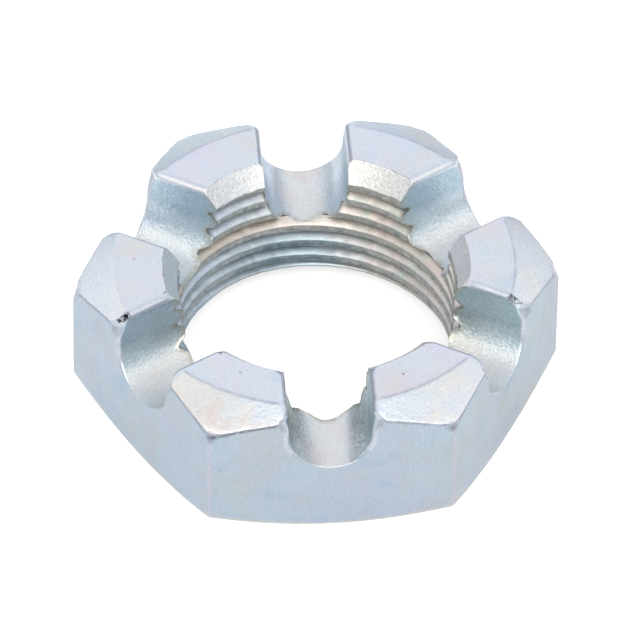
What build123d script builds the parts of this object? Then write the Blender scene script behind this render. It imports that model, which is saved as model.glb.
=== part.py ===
from build123d import *
from math import cos, hypot, radians, tan
import os

# A thin slotted hexagon nut: one hot forging, turned on both faces and tapped 1 inch - 14.
# The origin is the centre of the bearing face, and +Z runs up the bore to the crown.
# The hexagon's corners lie on +X and -X, so that two of the slots face +Y and -Y.
# Millimetres and degrees.

# Hexagon blank
sides = 6
across_flats = 36.5
height = 13.8
corner_edge_radius = 0.4  # rolled corner between two flats

# Turned chamfers: a flat circle is left on each face, and a cone runs from it out to the corners
face_inset = 1.0  # from a flat in to the circle
chamfer_slope = 27  # of the cone, from the face

# Bore, at the crests of the thread, with a countersink at each end
bore_diameter = 23.7
crown_countersink_depth = 1.45
foot_countersink_depth = 1.7
countersink_angle = 90  # between opposite sides

# Slots for the split pin: one across each flat, with a full-radius floor
slot_width = 7.15  # of the floor's round
slot_depth = 6.55
slot_draft = 2.5  # of each flank, opening towards the crown
slot_edge_radius = 0.6  # forged rounding where a slot breaks out

overrun = 2  # of a cutter past the corners

flat_radius = across_flats / 2
face_radius = flat_radius - face_inset
bore_radius = bore_diameter / 2
cutter_radius = flat_radius / cos(radians(180 / sides)) + overrun

# How far the chamfer has dropped, and the countersinks have opened, at their outer ends
chamfer_drop = (cutter_radius - face_radius) * tan(radians(chamfer_slope))
crown_mouth_radius = bore_radius + crown_countersink_depth * tan(radians(countersink_angle / 2))
foot_mouth_radius = bore_radius + foot_countersink_depth * tan(radians(countersink_angle / 2))


with BuildPart() as slot:
    # A cutter as long as half the nut, from the axis out through the flat that faces -Y
    with BuildSketch(Plane.XZ):
        with BuildLine():
            floor = CenterArc(
                (0, height - slot_depth + slot_width / 2),
                slot_width / 2,
                180 + slot_draft,
                180 - 2 * slot_draft,
            )
            left_flank = PolarLine(floor @ 0, slot_depth, 90 + slot_draft)
            right_flank = PolarLine(floor @ 1, slot_depth, 90 - slot_draft)
            Line(left_flank @ 1, right_flank @ 1)
        make_face()
    extrude(amount=cutter_radius)


with BuildPart() as nut:
    # Hexagon bar with rolled corners
    with BuildSketch():
        RegularPolygon(flat_radius, sides, major_radius=False)
    extrude(amount=height)
    fillet(nut.edges().filter_by(Axis.Z), radius=corner_edge_radius)

    # Chamfers turned on both faces
    with BuildSketch(Plane.XZ):
        with BuildLine():
            Polyline(
                (0, 0),
                (face_radius, 0),
                (cutter_radius, chamfer_drop),
                (cutter_radius, height - chamfer_drop),
                (face_radius, height),
                (0, height),
                close=True,
            )
        make_face()
    revolve(axis=Axis.Z, mode=Mode.INTERSECT)

    # Bore and its two countersinks
    with BuildSketch(Plane.XZ):
        with BuildLine():
            Polyline(
                (0, 0),
                (foot_mouth_radius, 0),
                (bore_radius, foot_countersink_depth),
                (bore_radius, height - crown_countersink_depth),
                (crown_mouth_radius, height),
                (0, height),
                close=True,
            )
        make_face()
    revolve(axis=Axis.Z, mode=Mode.SUBTRACT)

    # One slot through each flat leaves a castellation over each corner
    with PolarLocations(0, sides):
        add(slot.part, mode=Mode.SUBTRACT)

    # The slots' edges are rounded on the flats, the chamfer and the crown, but sharp in the bore
    slot_mouths = nut.edges(Select.NEW).filter_by(
        lambda edge: hypot((edge @ 0.5).X, (edge @ 0.5).Y) > crown_mouth_radius
    )
    fillet(slot_mouths, radius=slot_edge_radius)

nut.part.label = "castle_nut"
os.makedirs("parts", exist_ok=True)
export_step(nut.part, "parts/castle_nut.step")
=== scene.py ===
import bpy
import numpy as np
from math import cos, pi, radians, sin, tan
from mathutils import Matrix, Vector


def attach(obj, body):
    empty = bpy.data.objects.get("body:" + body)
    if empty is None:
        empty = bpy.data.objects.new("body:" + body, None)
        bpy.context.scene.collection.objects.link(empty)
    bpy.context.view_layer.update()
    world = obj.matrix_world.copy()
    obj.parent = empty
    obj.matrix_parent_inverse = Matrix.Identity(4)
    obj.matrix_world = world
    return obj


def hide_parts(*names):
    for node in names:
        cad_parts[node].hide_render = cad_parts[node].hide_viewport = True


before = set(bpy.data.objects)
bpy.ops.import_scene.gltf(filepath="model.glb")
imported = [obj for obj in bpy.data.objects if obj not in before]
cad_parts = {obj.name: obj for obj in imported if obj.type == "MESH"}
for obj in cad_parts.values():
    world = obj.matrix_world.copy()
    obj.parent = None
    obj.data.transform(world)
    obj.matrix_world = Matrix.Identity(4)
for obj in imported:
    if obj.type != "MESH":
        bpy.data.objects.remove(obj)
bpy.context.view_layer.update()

# ------------------------------------------------------------------ The castle nut
# One hot forging of steel, turned on both faces and tapped 1 inch - 14, then zinc plated all over.
# Its skin is one closed surface: lines run from the hole out over the slots and teeth, down the
# flats, under the bearing face and up the thread again. All sizes are in millimetres.
flat, height = 18.25, 13.8  # axis to a flat, bearing face to crown
circle, slope = 17.25, tan(radians(27))  # turned circle on each face, and the chamfer outside it
crest, root, pitch = 11.85, 12.70, 25.4 / 14  # radii of the thread's crests and roots
middle, groove = 12, 1.24  # a radius between them, and how wide a groove is
thread_z, last_turn = 1.545, 6.03  # where a turn starts at the rear, and the turn on which the grooves run out
mouth, foot = 13.30, 13.55  # radii of the countersinks at the crown and at the bearing face
floor_z, half_width, lean = 7.25, 3.575, radians(2.5)  # a slot's floor, half its width, its flanks' draft
tooth_round, slot_round, burr_round = 0.65, 0.50, 0.08  # edge of a tooth, edge of a slot on the flat, a burr
corner_round, low_round = 0.40, 0.12  # corner of the hexagon, lower edge of the flats


def noise(p, size, seed):
    """Smooth noise from -1 to 1: random heights at the corners of cubes of that size, blended inside each."""
    table = np.random.default_rng(seed).uniform(-1, 1, 4096)
    q = p / size + 1000.37  # keeps the cubes' numbers above zero
    cell = np.floor(q).astype(int)
    f = q - cell
    f = f * f * (3 - 2 * f)
    total = 0
    for corner in np.ndindex(2, 2, 2):
        c = cell + corner
        weight = np.prod(np.where(corner, f, 1 - f), -1)
        total = total + weight * table[(c[..., 0] * 73 + c[..., 1] * 179 + c[..., 2] * 283) % 4096]
    return total


def askew(angle):
    """How much lower the hole's tools reached at an angle, as they stood about a degree and a half out of square:
    a tilted plane, so a cosine and a sine."""
    return 0.09 * np.cos(angle) + 0.30 * np.sin(angle)


def climb(angle):
    """Height of the thread's helix at an angle: it gains one pitch a turn."""
    return thread_z + pitch * (angle / (2 * pi) - 0.25) - askew(angle)


def clear(z, angle):
    """Distance along the wall of the hole from the edge of the nearest slot: the distance from its middle line, or
    below that from the centre of its round, less half its width."""
    across = middle * np.sin(np.abs((angle + 2 * pi / 3) % (pi / 3) - pi / 6))
    return np.hypot(across, np.minimum(z - floor_z - half_width, 0)) - half_width


def thread(z, angle):
    """Radius of the tapped wall: flat ragged crests and round roots, joined by flanks. It is the crests' radius and
    the groove's depth, which rises over the lower flank, falls over the upper one and fades at the last turn. The
    crests stand no lower than a rough skin, blunted beside the slots."""
    spot = np.stack([middle * np.cos(angle), middle * np.sin(angle), z], -1)
    phase = (z - climb(angle) + 0.04 * noise(spot, 0.6, 9)) % pitch
    depth = (root - crest) * np.minimum((phase / 0.52).clip(0, 1) ** 1.15,
                                        ((groove - phase) / 0.5).clip(0, 1) ** 1.2)
    turn = np.floor((z - climb(angle)) / pitch) + angle / (2 * pi)
    wall = crest + depth * ((last_turn - turn) / 0.2).clip(0, 1)
    torn = 0.03 * noise(spot, 0.35, 1).clip(0) + 0.04 * noise(spot, 1.1, 2)
    return np.maximum(wall, crest + torn + 0.02 * (1 - clear(z, angle) / 0.4).clip(0, 1) ** 2)


def hole(z, angle):
    """Radius of the hole: the widest of the thread and the two countersinks. The one at the foot is at 45 degrees,
    and the one at the crown is steeper, most of all where its tool reached low."""
    cone = mouth + (z - height) / (1.08 + askew(angle).clip(0) / 1.6)
    return np.maximum(thread(z, angle), np.maximum(cone, foot - z))


def fall(r, edge=circle):
    """Drop of a turned face at radius r: none inside its circle and the chamfer's slope outside it, with a soft
    change between them."""
    soft = 0.05
    return slope * soft * np.logaddexp(0, (r - edge) / soft)


# Lines of half a slot and half a tooth: round the slot's floor, up its flank, over the tooth's
# rounded edge, across its top and round the hexagon's corner
arc = np.linspace(0, pi / 2 - lean, 18)
wall = np.linspace(0, 1, 12)[1:]
bend = np.linspace(lean, pi / 2, 7)[1:]
fan = np.linspace(0, 1, 16)[1:]
corner = np.linspace(0, pi / 6, 5)[1:]
tops = len(fan) + len(corner)
slots = len(arc) + len(wall) + len(bend)
count = slots + tops

arc_t, arc_z = half_width * np.sin(arc), floor_z + half_width * (1 - np.cos(arc))
bend_t = arc_t[-1] + (height - tooth_round - arc_z[-1]) * tan(lean) + tooth_round / cos(lean)
wall_t = bend_t - tooth_round * cos(lean)
wall_z = height - tooth_round * (1 - sin(lean))
line_t = np.r_[arc_t, arc_t[-1] + (wall_t - arc_t[-1]) * wall, bend_t - tooth_round * np.cos(bend),
               np.full(tops, bend_t)]
line_z = np.r_[arc_z, arc_z[-1] + (wall_z - arc_z[-1]) * wall, height - tooth_round * (1 - np.sin(bend)),
               np.full(tops, height)]
line_drop = np.r_[0 * arc, wall, np.ones(len(bend) + tops)]  # share of the chamfer's fall that each follows
into_t = np.r_[np.sin(arc), cos(lean) + 0 * wall, np.cos(bend), np.zeros(tops)]  # the way into the metal
into_z = -np.r_[np.cos(arc), sin(lean) + 0 * wall, np.sin(bend), np.ones(tops)]
give = np.r_[np.cos(arc) - cos(arc[-1]), np.zeros(count - len(arc))]  # how far each moves with the slot's floor
rim = np.r_[burr_round + (slot_round - burr_round) * np.sin(arc) ** 4, np.full(len(wall), slot_round),
            slot_round + (burr_round - slot_round) * (1 - np.cos(bend)) ** 2,
            burr_round + 0.2 * np.r_[fan, np.ones(len(corner))] ** 6]

# The hexagon's outline, and the way out of it, where each line comes over it
corner_t = (flat - corner_round) * tan(pi / 6)
first_t = bend_t - tan(lean) * fall(np.hypot(flat, bend_t))
edge_n = np.r_[np.full(slots + len(fan), flat), flat - corner_round * (1 - np.cos(corner))]
edge_t = np.r_[line_t[:slots], first_t + (corner_t - first_t) * fan,
               corner_t + corner_round * np.sin(corner)]
out_n = np.r_[np.ones(slots + len(fan)), np.cos(corner)]
out_t = np.r_[np.zeros(slots + len(fan)), np.sin(corner)]
first_angle = np.arctan2(first_t, flat)
fan_wide = (np.arctan2(edge_t, edge_n) - first_angle) / (pi / 6 - first_angle)
fan_even = np.arange(1 - slots, tops + 1) / tops
low_t = np.r_[np.linspace(0, half_width + slot_round, len(arc)),
              np.linspace(half_width + slot_round, corner_t, slots - len(arc) + len(fan) + 1)[1:],
              edge_t[-len(corner):]]

# How far across each line comes in the hole, at its top end and at the foot
full = mouth / 2
high_x = np.r_[line_t[:slots], bend_t + (full - bend_t) * np.arange(1, tops + 1) / tops]
foot_x = np.r_[np.linspace(0, arc_t[-1], len(arc)),
               np.linspace(arc_t[-1], full, count - len(arc) + 1)[1:]]

# All lines once round the nut, from the middle of the front slot back to it: the line's number in its half, its
# side of the slot, and the way that the slot faces
half = np.r_[np.tile(np.r_[0:count, count - 2:0:-1], 6), 0]
lines = len(half)
side = np.r_[np.tile(np.r_[np.ones(count), -np.ones(count - 2)], 6), 1]
facing = pi / 3 * np.r_[np.repeat(np.arange(6), 2 * count - 2) + (side[:-1] < 0), 6] - pi / 2
across, up, drop_share, rounding, give = (a[half] for a in (line_t, line_z, line_drop, rim, give))
in_t, in_z, e_n, e_t, o_n, o_t = (a[half] for a in (into_t, into_z, edge_n, edge_t, out_n, out_t))
fanned, even, base_t, high_x, foot_x = (a[half] for a in (fan_wide, fan_even, low_t, high_x, foot_x))
on_top = half >= slots
toward = facing + side * np.arctan2(e_t, e_n)
edge = circle - 0.15 * np.cos(toward) + 0.2 * np.sin(toward)  # the crown was turned a little off centre


def lift(r):
    """How much higher a slot's floor was left at radius r: the floors slope down inward, and the slots on one side
    are shallower, by the sine of the way they face."""
    return give * (0.045 * (r - middle) - 0.19 - 0.19 * np.sin(facing))


def struck(p):
    """Points with the crown's corners knocked in: what stands past a plane across a corner goes back to it, with a
    soft edge. There are planes at each tip of the hexagon, at the outer corners beside each slot, and at the inner
    corners of the front teeth, each fading out a little below the crown."""
    outer_plane, inner_plane, tip_plane = 14.3, 17.08, 20.6
    for twelfth in range(12):
        turn = twelfth * pi / 6
        out, along = (np.array(v) for v in ((cos(turn), sin(turn), 0), (-sin(turn), cos(turn), 0)))
        n, t, z = p @ out, p @ along, p[..., 2]
        if twelfth % 2:
            past = n - np.abs(t) - outer_plane + 0.75 * ((z - 11.5) / 1.2).clip(0, 1)
            past = 0.06 * np.logaddexp(0, past / 0.06) * ((z - 11.2) / 0.4).clip(0, 1) * (n > 15) / 2
            p = p - past[..., None] * (out - np.sign(t)[..., None] * along)
            past = inner_plane - 1.7 * (height - z) - n - np.abs(t)
            past = 0.05 * np.logaddexp(0, past / 0.05) * ((z - 12.9) / 0.2).clip(0, 1) / 2
            past = past * ((np.abs(t) < tan(pi / 6) * n) & (p[..., 1] < 0))
            p = p + past[..., None] * (out + np.sign(t)[..., None] * along)
        else:
            past = n - tip_plane - 0.45 * ((11.6 - z) / 0.8).clip(0, 1)
            p = p - (0.04 * np.logaddexp(0, past / 0.04))[..., None] * out
    return p


def ring(r, spread):
    """Every line's point at radius r: slot lines keep their distance across, the others fan out to the corner,
    evenly at the mouth and as the hexagon's edge divides them at a spread of 1."""
    lost = fall(r, edge)
    first = np.arcsin((bend_t - tan(lean) * lost) / r)
    share = even + (fanned - even) * spread
    angle = np.where(on_top, first + (pi / 6 - first) * share,
                     np.arcsin(np.clip((across - tan(lean) * drop_share * lost) / r, -1, 1)))
    return r * np.cos(angle), r * np.sin(angle), up - drop_share * lost + lift(r)


def turn_in(x, r):
    """Angle from the slot's middle of the point x across at radius r: its arcsine, but x past the slot's flank is
    shared out evenly over the tooth."""
    first = np.arcsin(bend_t / r)
    return np.where(x > bend_t, first + (pi / 6 - first) * (x - bend_t) / (full - bend_t),
                    np.arcsin(np.minimum(x / r, 1)))


def beside(n, t):
    """The point of each line at a distance n along its slot: slot lines find their own distance across, as the
    draft brings them in by what the chamfer takes off."""
    for _ in range(4):
        lost = fall(np.hypot(n, t), edge)
        t = np.where(on_top, t, across - tan(lean) * drop_share * lost)
    return n, t, up - drop_share * lost + lift(np.hypot(n, t))


def over(turned):
    """The point of each line on the quarter round from the top, or the slot's side, over onto the flat: back from
    the edge by what the sine leaves of the radius, and into the metal by what the cosine leaves."""
    back = rounding * (1 - sin(turned))
    n, t, z = beside(e_n - o_n * back, e_t - o_t * back)
    return n, t + in_t * rounding * (1 - cos(turned)), z + in_z * rounding * (1 - cos(turned))


# Where each line leaves the hole: a slot cuts the thread or the countersink, a tooth starts at the mouth
inner = np.full(lines, mouth)
for _ in range(12):
    inner = np.where(on_top, mouth, hole(up + lift(inner), facing + side * np.arcsin(across / inner)))
skin = []
close, before, circle_ring = 0.06, 0.24, 11  # gaps at both ends of the even rings, and the ring at the circle
for r in [inner, inner + close] + [inner + close + (edge - before - inner) * s for s in np.arange(1, 9) / 8] + [
        edge + s for s in (-0.08, 0, 0.08, 0.22)]:
    skin.append(ring(r, (r - mouth).clip(0) / (flat - mouth)))
start, brink = skin[-1], over(0)
skin += [beside(*(a + (b - a) * s for a, b in zip(start[:2], brink[:2]))) for s in (0.3, 0.55, 0.75, 0.9)]
skin += [over(radians(turned)) for turned in (0, 30, 60, 90)]
tops_end = len(skin)

# Down the flats, round their lower edge and over the bearing face to the hole
top_t, top_z = skin[-1][1] + 0.1 * in_t, skin[-1][2] + 0.1 * in_z
base_z = fall(np.hypot(e_n, base_t))
down = np.r_[0, 0.02, 0.04, 0.07, np.arange(1, 10) / 10, 0.97, 1]
skin += [(e_n, top_t + (base_t - top_t) * s, top_z + (base_z + low_round - top_z) * s) for s in down]
skin += [(e_n - 0.3 * low_round * o_n, base_t - 0.3 * low_round * o_t, base_z + 0.3 * low_round)]
n, t = e_n - low_round * o_n, base_t - low_round * o_t
low_r, low_angle = np.hypot(n, t), np.arctan2(t, n)
base_angle = turn_in(foot_x, foot)
for r, s in ((low_r, 0), ((low_r + circle) / 2, 0.1), (circle + 0.08, 0.2), (circle, 0.2),
             (circle - 0.08, 0.2), ((circle + foot) / 2, 0.6)):
    angle, r = low_angle + (base_angle - low_angle) * s, r + 0 * low_r
    skin.append((r * np.cos(angle), r * np.sin(angle), fall(r)))
foot_end = len(skin)
points = []
for n, t, z in skin:
    t = t * side
    points.append(np.stack([n * np.cos(facing) - t * np.sin(facing),
                            n * np.sin(facing) + t * np.cos(facing), z], -1))

# Up the hole in rows that climb with the thread, close together at its edges and in the crown's countersink
steps = np.array([0.02, 0.14, 0.26, 0.36, 0.44, 0.51, 0.62, 0.74, 0.96, 1.14, 1.24, 1.40, 1.62])
rows = (pitch * np.arange(-3, 5)[:, None] + steps).ravel()
gap = 0.08
rows = np.r_[rows, np.arange(rows[-1] + gap, height, gap)]
number = np.arange(len(rows))
high_row = np.interp(skin[0][2] - climb(facing + side * turn_in(high_x, inner)), rows, number)
foot_row = np.interp(-climb(facing + side * base_angle), rows, number)
for j in number:
    row = np.where(j < foot_row + 0.1, foot_row, np.where(j > high_row - 0.1, high_row, j))
    x = foot_x + (high_x - foot_x) * (row - foot_row) / (high_row - foot_row)
    r = inner
    for _ in range(4):
        angle = facing + side * turn_in(x, r)
        z = np.interp(row, number, rows) + climb(angle)
        z = np.where(row == foot_row, 0, np.where(row == high_row, skin[0][2], z))
        r = np.where(row == high_row, inner, hole(z, angle))
    points.append(np.stack([r * np.cos(angle), r * np.sin(angle), z], -1))

# Points that fall together within a tenth of a micrometre, where lines run into each other, are made one
grid = struck(np.stack(points, 1))
_, kept, index = np.unique(np.round(grid.reshape(-1, 3) * 1e4).astype(int), axis=0, return_index=True,
                           return_inverse=True)
verts = grid.reshape(-1, 3)[kept]
index = index.reshape(grid.shape[:2])
a, b, c, d = index[:-1], np.roll(index[:-1], -1, 1), np.roll(index[1:], -1, 1), index[1:]
faces = np.concatenate([np.stack([a, b, c], -1).reshape(-1, 3), np.stack([a, c, d], -1).reshape(-1, 3)])
faces = faces[(faces[:, 0] != faces[:, 1]) & (faces[:, 1] != faces[:, 2]) & (faces[:, 0] != faces[:, 2])]

# What each part of the skin is, from 0 to 1, for the finish. A station is a point's number along its line
station = np.arange(grid.shape[1])[None, :]
angle, r, z = np.arctan2(grid[..., 1], grid[..., 0]), np.hypot(grid[..., 0], grid[..., 1]), grid[..., 2]
phase = (z - climb(angle)) % pitch
in_hole, top = station >= foot_end, on_top[:, None]
cone = in_hole & (r - thread(z, angle) > 0.02) & (z > 8)
bore = in_hole & ~cone
crests = bore * np.interp(phase, [0, 0.1, 1.1, 1.2, 1.4, pitch], [0.6, 0, 0, 1, 1, 0.6])
slotted = (station < tops_end - 3) & (half < len(arc) + len(wall))[:, None]
flats = (station >= tops_end - 2) & (station <= tops_end + len(down))
marks = {
    "slot": slotted,
    "wall": slotted * ((half - 10) / 7).clip(0, 1)[:, None],
    "haunch": slotted * np.exp(-((half - 11) / 4.5) ** 2)[:, None],  # where the floor turns up into the wall
    # The slot's edge at the thread, its floor's and its walls' edges on the flat, and the teeth's edges along it
    "inward": slotted & (station < 2),
    "lip": (station >= tops_end - 4) & (station <= tops_end - 2) & (half < 8)[:, None],
    "outer": (station >= tops_end - 4) & (station < tops_end) & ((half > 12) & (half < slots))[:, None],
    "band": (station < tops_end - 2) & ((half > len(arc) + len(wall)) & (half < slots - 2))[:, None],
    "cone": cone,
    "bore": bore,
    "roots": bore * np.interp(phase, [0.42, 0.52, 0.9, 1.0], [0, 1, 1, 0]),
    "torn": np.maximum(crests, 0.7 * bore * (1.4 - clear(z, angle) / 0.3).clip(0, 1)),
    "cut": bore * (1.2 - clear(z, angle) / 0.12).clip(0, 1),  # the thread's ends beside the slots
    "third": bore & (np.floor((z - climb(angle)) / pitch) == 3),  # the turn that the slots' floors cut
    # The chamfer, its inner edge, its outer edge, and the middle and lower side of that
    "turned": (station < tops_end - 3) & top & (station > circle_ring),
    "ridge": top * np.exp(-((r - edge[:, None]) / 0.12) ** 2) * (station < tops_end - 3),
    "brink": top & (station >= tops_end - 4) & (station < tops_end),
    "nibbled_and_shaded": top & ((station == tops_end - 3) | (station == tops_end - 2)),
    "burr": top & (station >= tops_end - 1) & (station <= tops_end),
    "flats": flats,
    "arris": flats & (half >= count - 4)[:, None],  # the hexagon's corners
    "under": (station >= tops_end + len(down) - 1) & (station <= tops_end + len(down))}  # the lower edge
marks = {name: np.broadcast_to(mask, r.shape).reshape(-1)[kept] for name, mask in marks.items()}

# The front slot was cut narrow, on its right. Forged unevenness, edges nibbled by handling and two small dents
# all go into the metal, along the skin's normals
spans = np.cross(verts[faces[:, 1]] - verts[faces[:, 0]], verts[faces[:, 2]] - verts[faces[:, 0]])
normal = np.stack([np.bincount(faces.ravel(), np.repeat(span, 3), len(verts)) for span in spans.T], -1)
normal /= np.linalg.norm(normal, axis=1, keepdims=True)
x, y, z = verts.T
narrowed = np.interp(x, [1.5, 3.3, 5, 7.5], [0, 1, 1, 0]) * ((z - 6) / 2).clip(0, 1) * (y < -8)
verts[:, 0] -= 0.28 * narrowed * (1 - 0.5 * ((z - 9) / 4.8).clip(0, 1))
dent = 0.012 * (1 + noise(verts, 2.4, 3)) + 0.006 * (1 + noise(verts, 0.7, 4))
dent += marks["brink"] * 0.05 * noise(verts, 0.35, 5).clip(0)
dent += marks["slot"] * 0.012 * (1 + noise(verts, 0.45, 6))
for at, deep in (((-20.4, -1.2, 6.5), 0.06), ((-6.0, -18.2, 11.0), 0.05)):
    dent += deep * np.exp(-((verts - at) ** 2).sum(1) / 0.2 ** 2)
verts -= normal * dent[:, None]
verts[:, 2] = verts[:, 2].clip(0)

mesh = bpy.data.meshes.new("castle_nut_skin")
mesh.from_pydata((verts * 0.001).tolist(), [], faces.tolist())
mesh.polygons.foreach_set("use_smooth", np.ones(len(faces), bool))
for name, mask in marks.items():
    mesh.attributes.new(name, "FLOAT", "POINT").data.foreach_set("value", mask.astype(np.float32))
mesh.update()
nut = bpy.data.objects.new("castle_nut_skin", mesh)
bpy.context.collection.objects.link(nut)
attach(nut, "root")
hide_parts("castle_nut")


def colour(code):
    """sRGB hex to the linear colour that a node takes."""
    s = np.array([int(code[i:i + 2], 16) for i in (1, 3, 5)]) / 255
    return (*np.where(s <= 0.04045, s / 12.92, ((s + 0.055) / 1.055) ** 2.4), 1)


def node(tree, kind, inputs=(), **settings):
    """Adds a node: inputs by name or number, a value or another node's output socket."""
    made = tree.nodes.new(kind)
    for key, value in settings.items():
        setattr(made, key, value)
    for key, value in dict(inputs).items():
        if isinstance(value, bpy.types.NodeSocket):
            tree.links.new(value, made.inputs[key])
        else:
            made.inputs[key].default_value = value
    return made


# Zinc plate under a clear blue passivation, on forged and machined steel. It gives a pale satin metal,
# clouded with faint blue, pink and straw where the passivation is thicker or thinner; grainy in the
# slots and countersink, where the forging scale was, and dull grey on the torn crests of the thread, a grey that is
# partly painted shade. Shade and highlights are also painted on the flats, slot walls, back chamfers, deep in the
# hole and along the rounded edges.
zinc = bpy.data.materials.new("zinc_plate_clear_passivated")
zinc.use_nodes = True
tree = zinc.node_tree
shader = tree.nodes["Principled BSDF"]
mm = node(tree, "ShaderNodeVectorMath", {0: node(tree, "ShaderNodeTexCoord").outputs["Object"], "Scale": 1000},
          operation="SCALE").outputs[0]
mark = {name: node(tree, "ShaderNodeAttribute", attribute_name=name).outputs["Fac"] for name in marks}

# Places on the nut in mm: its three axes, and how far to either side of the middle, and of a line 1 mm left of it
place = dict(zip("XYZ", node(tree, "ShaderNodeSeparateXYZ", {0: mm}).outputs))
place["off"] = node(tree, "ShaderNodeMath", {0: place["X"]}, operation="ABSOLUTE").outputs[0]
from_left = node(tree, "ShaderNodeMath", {0: place["X"], 1: 1}, operation="ADD").outputs[0]
place["off left"] = node(tree, "ShaderNodeMath", {0: from_left}, operation="ABSOLUTE").outputs[0]


def along(axis, start, end, first=0.0, last=1.0):
    """An amount that is first before the start, in mm along an axis, last past the end, and even between them."""
    return node(tree, "ShaderNodeMapRange", {"Value": place[axis], "From Min": start, "From Max": end,
                                             "To Min": first, "To Max": last}).outputs[0]


def patches(size, detail, seed, low, high, first=0.0, last=1.0):
    """An amount that comes in patches of about that size in mm: noise, with its values from low to high stretched
    over first to last."""
    moved = node(tree, "ShaderNodeVectorMath", {0: mm, 1: (seed, seed, seed)}).outputs[0]
    fac = node(tree, "ShaderNodeTexNoise", {"Vector": moved, "Scale": 0.5 / size, "Detail": detail,
                                            "Roughness": 0.6}).outputs["Fac"]
    return node(tree, "ShaderNodeMapRange", {"Value": fac, "From Min": low, "From Max": high,
                                             "To Min": first, "To Max": last}).outputs[0]


def together(*amounts):
    """How far several amounts hold together: their product."""
    product = amounts[0]
    for amount in amounts[1:]:
        product = node(tree, "ShaderNodeMath", {0: product, 1: amount}, operation="MULTIPLY").outputs[0]
    return product


def laid(under, over, *amounts, blend="MIX"):
    """One tint laid over another as far as the amounts hold together. A tint is a hex code or a socket."""
    under, over = (colour(tint) if isinstance(tint, str) else tint for tint in (under, over))
    return node(tree, "ShaderNodeMix", {0: together(*amounts), 6: under, 7: over}, data_type="RGBA",
                blend_type=blend).outputs[2]


# Clouded plating all over, in patches of 2 to 3 mm. The flats are made greyer: painted shade for the upright faces
plate = laid("#e4eefb", "#e8ebfa", patches(3.2, 3, 0, 0.42, 0.62))
plate = laid(plate, "#ece6e9", patches(2.6, 3, 40, 0.5, 0.72, 0, 0.7))
plate = laid(plate, "#ecefe3", patches(2.2, 3, 80, 0.56, 0.76, 0, 0.6))
plate = laid(plate, "#d3e5f8", patches(1.7, 2, 120, 0.56, 0.78, 0, 0.8))
# Painted shade: the flats' colour multiplied greyer
plate = laid(plate, laid("#cbd2d4", "#c7cdcd", along("X", 8, 16)), mark["flats"], blend="MULTIPLY")

# Slots: pale floors, straw where two of them face the window, and bluer walls, with dark specks where they meet,
# as fine as the scale was, 0.12 to 0.2 mm. Painted shade: the walls' darker blue, deepest in the front and rear
# slots, as the walls face each other, and teal on the front slot's haunches. The straw is a painted tone on the
# window's reflection in those two floors
floors = laid("#ebe6e8", "#eaf0f4", patches(1.2, 3, 20, 0.35, 0.7))
haunches = laid("#eff8fb", laid("#d7e3f2", "#e3eef9", along("X", -2, 2)), along("Y", 10, 12))
floors = laid(floors, haunches, mark["haunch"])
# Painted tone on the window's reflection: straw on the floors of the two slots that face it
floors = laid(floors, "#f1eadb", along("off", 15.5, 13, 0, 0.4), along("X", -2, 2, 0.4, 1),
              along("Y", 0, -3), along("Y", -12, -10))
# Painted shade: slot walls darker and bluer, most in the front and rear slots
walls = laid("#bed2dd", "#d0e4ec", along("X", -5, 5))
walls = laid(walls, "#c8dce8", along("Y", -8, 4))
walls = laid(walls, laid("#94a8b6", "#a4bbca", along("X", -2, 2)), along("Y", 11, 15))
walls = laid(walls, laid("#849aa3", "#a8bfca", along("X", -2, 2)), along("Y", -12, -14))
walls = laid(walls, "#93aab6", patches(0.12, 1, 20, 0.4, 0.6, 0, 0.25))
plate = laid(plate, laid(floors, walls, mark["wall"]), mark["slot"])
plate = laid(plate, "#7f969f", mark["haunch"], patches(0.12, 1, 20, 0.5, 0.62, 0, 0.2))
# Painted shade: the front slot's haunches darkened teal, where the floor turns up into the wall
plate = laid(plate, "#7f98a2", mark["haunch"], along("Y", -12, -14), patches(0.2, 1, 21, 0.45, 0.6, 0, 0.35))

# Chamfers: bluish, cream in patches and on one front tooth, which has salmon stains too;
# darker at the back, which is painted shade for faces turned from the window
back_side = along("Y", 2, 8)
cream = laid("#fdf7f1", "#fbeae1", patches(1.1, 2, 47, 0.5, 0.62), along("X", -5, -7))
one_tooth = together(along("X", -7, -10), along("Y", -9, -13, 0, 0.8))
creamy = together(patches(1.8, 2, 60, 0.48, 0.72), along("X", -15, -11, 0.2, 1))
creamy = node(tree, "ShaderNodeMath", {0: one_tooth, 1: creamy}, operation="MAXIMUM").outputs[0]
plate = laid(plate, laid("#eff4fb", cream, creamy), mark["turned"])
# Painted shade: the back chamfers darkened
plate = laid(plate, laid("#ecf5f9", "#dfe7f0", along("X", -3, 3)), mark["turned"], back_side, blend="MULTIPLY")

# Countersink: smooth in front, speckled at the back
speckled = laid(laid("#eaebe9", "#eaeae4", along("X", -3, 3)), laid("#f6f8fa", "#f6f6f1", along("X", -3, 3)),
                patches(0.12, 1, 30, 0.4, 0.6))
plate = laid(plate, laid(laid("#e8f0f5", "#fbf8fb", along("X", -5, 5)), speckled, back_side), mark["cone"])

# Thread: mottled flanks, tan on the turn that the slots cut, and torn ends. Painted shade: flanks and crests bluer
# and darker deep in the hole, grey roots, and the crests' dull grey, which is partly the torn metal's own
# Painted shade deep in the hole: low down, near the middle of its far wall
deep_shade = together(along("Z", 4.8, 6.6, 1, 0), along("off left", 2, 7, 0.9, 0.2))
mottled = laid("#efe3dd", "#e4e8de", patches(0.9, 2, 44, 0.42, 0.6))
flanks = laid(laid("#dae7f5", mottled, along("X", -9, 5)), "#afc2ce", deep_shade)
stain = laid("#e2d7d0", "#dcd7ce", patches(0.5, 2, 61, 0.4, 0.6))
flanks = laid(flanks, stain, mark["third"], along("X", 1, 8, 1, 0.45))
plate = laid(plate, flanks, mark["bore"])
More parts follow.
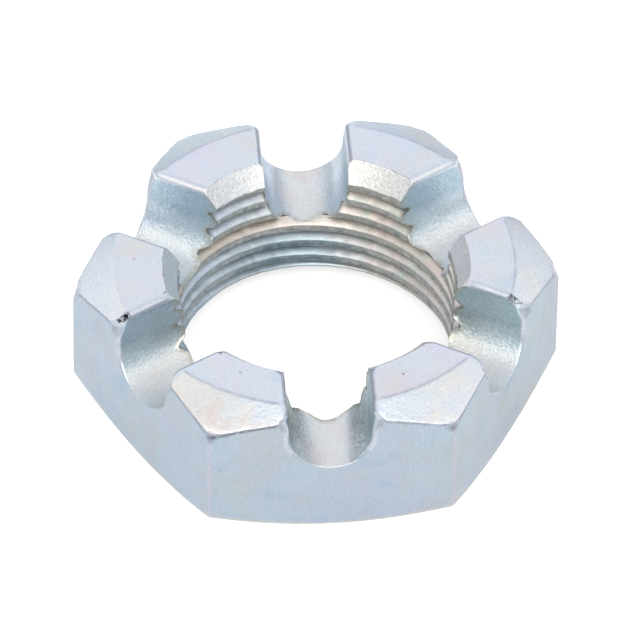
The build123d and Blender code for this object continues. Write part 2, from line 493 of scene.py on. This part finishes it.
# Grey roots: painted shade in the grooves' hollows, partly their own duller grey
plate = laid(plate, "#8c8f8c", mark["roots"])
# The crests' grey: the torn metal's own, and painted shade for the dark hole that they reflect
crest_grey_and_shade = laid(laid("#8a908f", "#b4b6b0", patches(0.25, 3, 5, 0.35, 0.65)), "#5c7886", deep_shade)
plate = laid(plate, crest_grey_and_shade, mark["torn"], patches(0.35, 3, 15, 0.3, 0.6, 0.5, 1))
plate = laid(plate, "#77736b", mark["cut"], patches(0.22, 2, 16, 0.38, 0.55, 0.1, 0.9))
plate = laid(plate, "#c6bfa9", mark["inward"], patches(0.25, 2, 18, 0.35, 0.6, 0.2, 0.8))

# Edges: violet grey on the hexagon's corners, where the plating is thin and rubbed, straw under the flats, dark
# specks where burrs broke off. Painted light on the rounded edges: grey that dims their reflection of the window,
# more at the back and sides (painted shade), cream white on the back teeth and near white on the slot floors'
# edges (painted highlights), and a dark line on the chamfers' lower edges (painted shadow)
plate = laid(plate, "#c8c3cf", mark["arris"], patches(0.3, 2, 9, 0.35, 0.6, 0.3, 0.8))
plate = laid(plate, "#e3d9bd", mark["under"], 0.5)
# The teeth's rounded edges: violet grey, partly their own tint and partly painted shade dimming their reflection of
# the window, darkest by the rear slot; cream white on the other back teeth, a painted highlight
banded = laid("#c9cfd8", "#dddee6", patches(0.5, 2, 27, 0.4, 0.6))
rear_slot = together(back_side, along("off", 4.5, 6, 1, 0))
painted_edge_share = node(tree, "ShaderNodeMath", {0: rear_slot, 1: 0.3, 2: 0.5}, operation="MULTIPLY_ADD").outputs[0]
plate = laid(plate, laid(banded, laid("#f6f4ef", "#b4b8c6", rear_slot), back_side), mark["band"], painted_edge_share)
# Painted shade: the slots' outer edges greyer at the back and sides, dimming their reflection of the window
outer_edge_shade = node(tree, "ShaderNodeMath", {0: back_side, 1: along("off", 8, 11, 0, 0.6)},
              operation="MAXIMUM").outputs[0]
painted_edge_share = node(tree, "ShaderNodeMath", {0: along("Y", 2, 8, 0.45, 0.8), 1: along("off", 8, 11, 0, 0.75)},
            operation="MAXIMUM").outputs[0]
plate = laid(plate, laid(banded, "#b9bcc9", outer_edge_shade), mark["outer"], painted_edge_share)
# Painted highlight: near white along the slot floors' edges on the flats
plate = laid(plate, "#fdfcf9", mark["lip"], patches(0.6, 2, 17, 0.4, 0.6, 0, 0.7))
plate = laid(plate, "#b9b9cc", mark["ridge"], patches(0.5, 2, 33, 0.3, 0.6, 0.25, 0.7),
             along("X", -16, -12, 0.1, 1))
# Painted shadow: a dark line on the rounded edge under each chamfer, patchy like nibbling
plate = laid(plate, "#a3a6b2", mark["nibbled_and_shaded"], patches(0.5, 2, 33, 0.3, 0.6, 0.4, 0.9))
burrs = node(tree, "ShaderNodeMath", {0: patches(0.4, 2, 35, 0, 1), 1: along("X", 3, -3, 0, 0.1)},
             operation="ADD").outputs[0]
burrs = node(tree, "ShaderNodeMapRange", {"Value": burrs, "From Min": 0.4, "From Max": 0.55,
                                          "To Max": 0.9}).outputs[0]
plate = laid(plate, "#777a84", mark["burr"], burrs, along("X", 3, -3, 0.5, 1), along("Y", -17.5, -18, 0.3, 1))
plate = laid(plate, "#5d6066", mark["brink"], patches(0.16, 2, 71, 0.67, 0.73))

# The plating's own grain, drawn at 0.09 mm, several times its real size, so that it shows
plate = laid(plate, "#a4acb3", patches(0.09, 1, 10, 0.3, 0.7, 0, 0.22), blend="MULTIPLY")

# Ragged spots: pits in the crown and flats, then two struck edges, where curling scratches go down to dark steel,
# over a grey patch that is painted shade, dimming the rounded edge's reflection of the window
sway = 0.5  # mm that the spots' outlines wander
ragged = node(tree, "ShaderNodeTexNoise", {"Vector": mm, "Scale": 2.5}).outputs["Color"]
ragged = node(tree, "ShaderNodeVectorMath", {0: ragged, "Scale": sway}, operation="SCALE").outputs[0]
ragged = node(tree, "ShaderNodeVectorMath", {0: mm, 1: ragged}).outputs[0]


def spot(at, inside, outside, most=1.0):
    """An amount that is most within the first distance of a place, in mm, and none past the second."""
    centre = tuple(x + sway / 2 for x in at)
    away = node(tree, "ShaderNodeVectorMath", {0: ragged, 1: centre}, operation="DISTANCE").outputs["Value"]
    return node(tree, "ShaderNodeMapRange", {"Value": away, "From Min": inside, "From Max": outside,
                                             "To Min": most, "To Max": 0}).outputs[0]


for at, wide, tint in (((-7.5, -12.6, 13.8), 0.12, "#aaa2a4"), ((6.3, -13.7, 13.8), 0.1, "#9a9294"),
                       ((6.6, -13.2, 13.8), 0.07, "#a8a0a2"), ((-15.6, 1.6, 13.8), 0.16, "#cfc4cc"),
                       ((-9.6, -18.25, 7.9), 0.09, "#8d9095"), ((3.0, -18.25, 2.9), 0.1, "#a59b98")):
    plate = laid(plate, tint, spot(at, wide * 0.7, wide * 1.3, 0.85))
curls = together(patches(0.16, 1, 7, 0.38, 0.42), patches(0.16, 1, 7, 0.62, 0.58))
for at, tint in (((-17.3, -5.43, 13.3), "#101215"), ((-16.95, -5.23, 13.45), "#101215"),
                 ((-16.6, -5.03, 13.6), "#101215"), ((17.28, -5.55, 13.3), "#585b61"),
                 ((16.93, -5.35, 13.45), "#585b61"), ((16.58, -5.15, 13.58), "#585b61"),
                 ((16.23, -4.95, 13.68), "#585b61")):
    struck_at = spot(at, 0.2, 0.4)
    # Painted shade: a grey patch under the scratches
    plate = laid(plate, "#a2a6b0", struck_at, 0.6)
    plate = laid(plate, tint, struck_at, curls)
tree.links.new(plate, shader.inputs["Base Color"])

shader.inputs["Metallic"].default_value = 1
rough = node(tree, "ShaderNodeMath", {0: mark["torn"], 1: 0.1, 2: patches(1.4, 2, 50, 0.3, 0.7, 0.34, 0.44)},
             operation="MULTIPLY_ADD").outputs[0]
tree.links.new(rough, shader.inputs["Roughness"])

# Heights in mm: plating grain all over, peened scale in the slots and countersink, tool marks on the chamfer
relief = patches(0.09, 1, 10, 0, 1, 0, 0.008)
for name, tall in (("slot", patches(0.12, 1, 20, 0, 1, 0, 0.04)),
                   ("haunch", together(patches(0.2, 1, 20, 0, 1), along("Y", -12, -14, 0.02, 0.11))),
                   ("cone", patches(0.12, 1, 30, 0, 1, 0, 0.035)),
                   ("turned", patches(0.17, 2, 90, 0, 1, 0, 0.03)),
                   ("torn", patches(0.25, 2, 15, 0, 1, 0, 0.04))):
    relief = node(tree, "ShaderNodeMath", {0: mark[name], 1: tall, 2: relief},
                  operation="MULTIPLY_ADD").outputs[0]
bump = node(tree, "ShaderNodeBump", {"Height": relief, "Distance": 0.001, "Strength": 1.0})
tree.links.new(bump.outputs[0], shader.inputs["Normal"])
nut.data.materials.append(zinc)

# ------------------------------------------------------------------ Floor, light and camera
# A sheet of white paper on a table, under a light tent. The camera and the metal see the paper a little whiter
# than the light makes it.
bpy.ops.mesh.primitive_plane_add(size=2.4)
floor = bpy.context.object
floor.name = "floor"
white = bpy.data.materials.new("white_paper_floor")
white.use_nodes = True
paper = white.node_tree.nodes["Principled BSDF"]
paper.inputs["Base Color"].default_value = colour("#f7f7f7")
paper.inputs["Roughness"].default_value = 0.9
ray = node(white.node_tree, "ShaderNodeLightPath").outputs
lift_metal, lift_camera = 0.22, 0.5
shown = node(white.node_tree, "ShaderNodeMath", {0: ray["Is Glossy Ray"], 1: ray["Is Transmission Ray"]},
             operation="MAXIMUM").outputs[0]
shown = node(white.node_tree, "ShaderNodeMath", {0: shown, 1: lift_metal}, operation="MULTIPLY").outputs[0]
shown = node(white.node_tree, "ShaderNodeMath", {0: ray["Is Camera Ray"], 1: lift_camera, 2: shown},
             operation="MULTIPLY_ADD").outputs[0]
paper.inputs["Emission Color"].default_value = (1, 1, 1, 1)
white.node_tree.links.new(shown, paper.inputs["Emission Strength"])
floor.data.materials.append(white)

# The tent: pale all round, dim where it meets the table, with one large soft window in front, 45 degrees up
world = bpy.data.worlds.new("light_tent")
bpy.context.scene.world = world
world.use_nodes = True
sky = world.node_tree
way = node(sky, "ShaderNodeTexCoord").outputs["Generated"]
tent = node(sky, "ShaderNodeValToRGB", {"Fac": node(sky, "ShaderNodeSeparateXYZ", {0: way}).outputs["Z"]})
tent.color_ramp.elements[0].color = (0.05, 0.055, 0.06, 1)
tent.color_ramp.elements[1].color = (0.66, 0.73, 0.79, 1)
tent.color_ramp.elements[1].position = 0.94
for high, light in ((0.14, (0.26, 0.29, 0.33, 1)), (0.34, (0.92, 0.98, 1.07, 1)), (0.70, (1.08, 1.03, 0.97, 1))):
    tent.color_ramp.elements.new(high).color = light
facing_window = node(sky, "ShaderNodeVectorMath", {0: way, 1: (0, -0.707, 0.707)},
                     operation="DOT_PRODUCT").outputs["Value"]
window = node(sky, "ShaderNodeMapRange", {"Value": facing_window, "From Min": 0.8, "From Max": 1.0},
              interpolation_type="SMOOTHSTEP").outputs[0]
glow = node(sky, "ShaderNodeMix", {0: window, 6: tent.outputs["Color"], 7: (2.0, 1.82, 1.66, 1)},
            data_type="RGBA", blend_type="ADD").outputs[2]
sky.links.new(glow, sky.nodes["Background"].inputs["Color"])

azimuth, elevation, roll = radians(-5.0146), radians(45.27), radians(0.9739)
back = Vector((sin(azimuth) * cos(elevation), -cos(azimuth) * cos(elevation), sin(elevation)))
right = Vector((cos(azimuth), sin(azimuth), 0))
upward = back.cross(right)
x_axis = right * cos(roll) + upward * sin(roll)
y_axis = upward * cos(roll) - right * sin(roll)
aim = Vector((0, 0, 0.0020075)) + 0.00042705 * x_axis + 0.0034602 * y_axis  # a point inside the nut
away = 0.8582975  # metres from there to the lens
camera = bpy.data.objects.new("camera", bpy.data.cameras.new("camera"))
bpy.context.collection.objects.link(camera)
camera.matrix_world = (Matrix.Translation(aim + away * back)
                       @ Matrix((x_axis, y_axis, back)).transposed().to_4x4())
camera.data.sensor_width, camera.data.lens = 36, 556.425
camera.data.clip_start, camera.data.clip_end = 0.01, 10
bpy.context.scene.camera = camera
bpy.context.scene.view_settings.view_transform = "Standard"
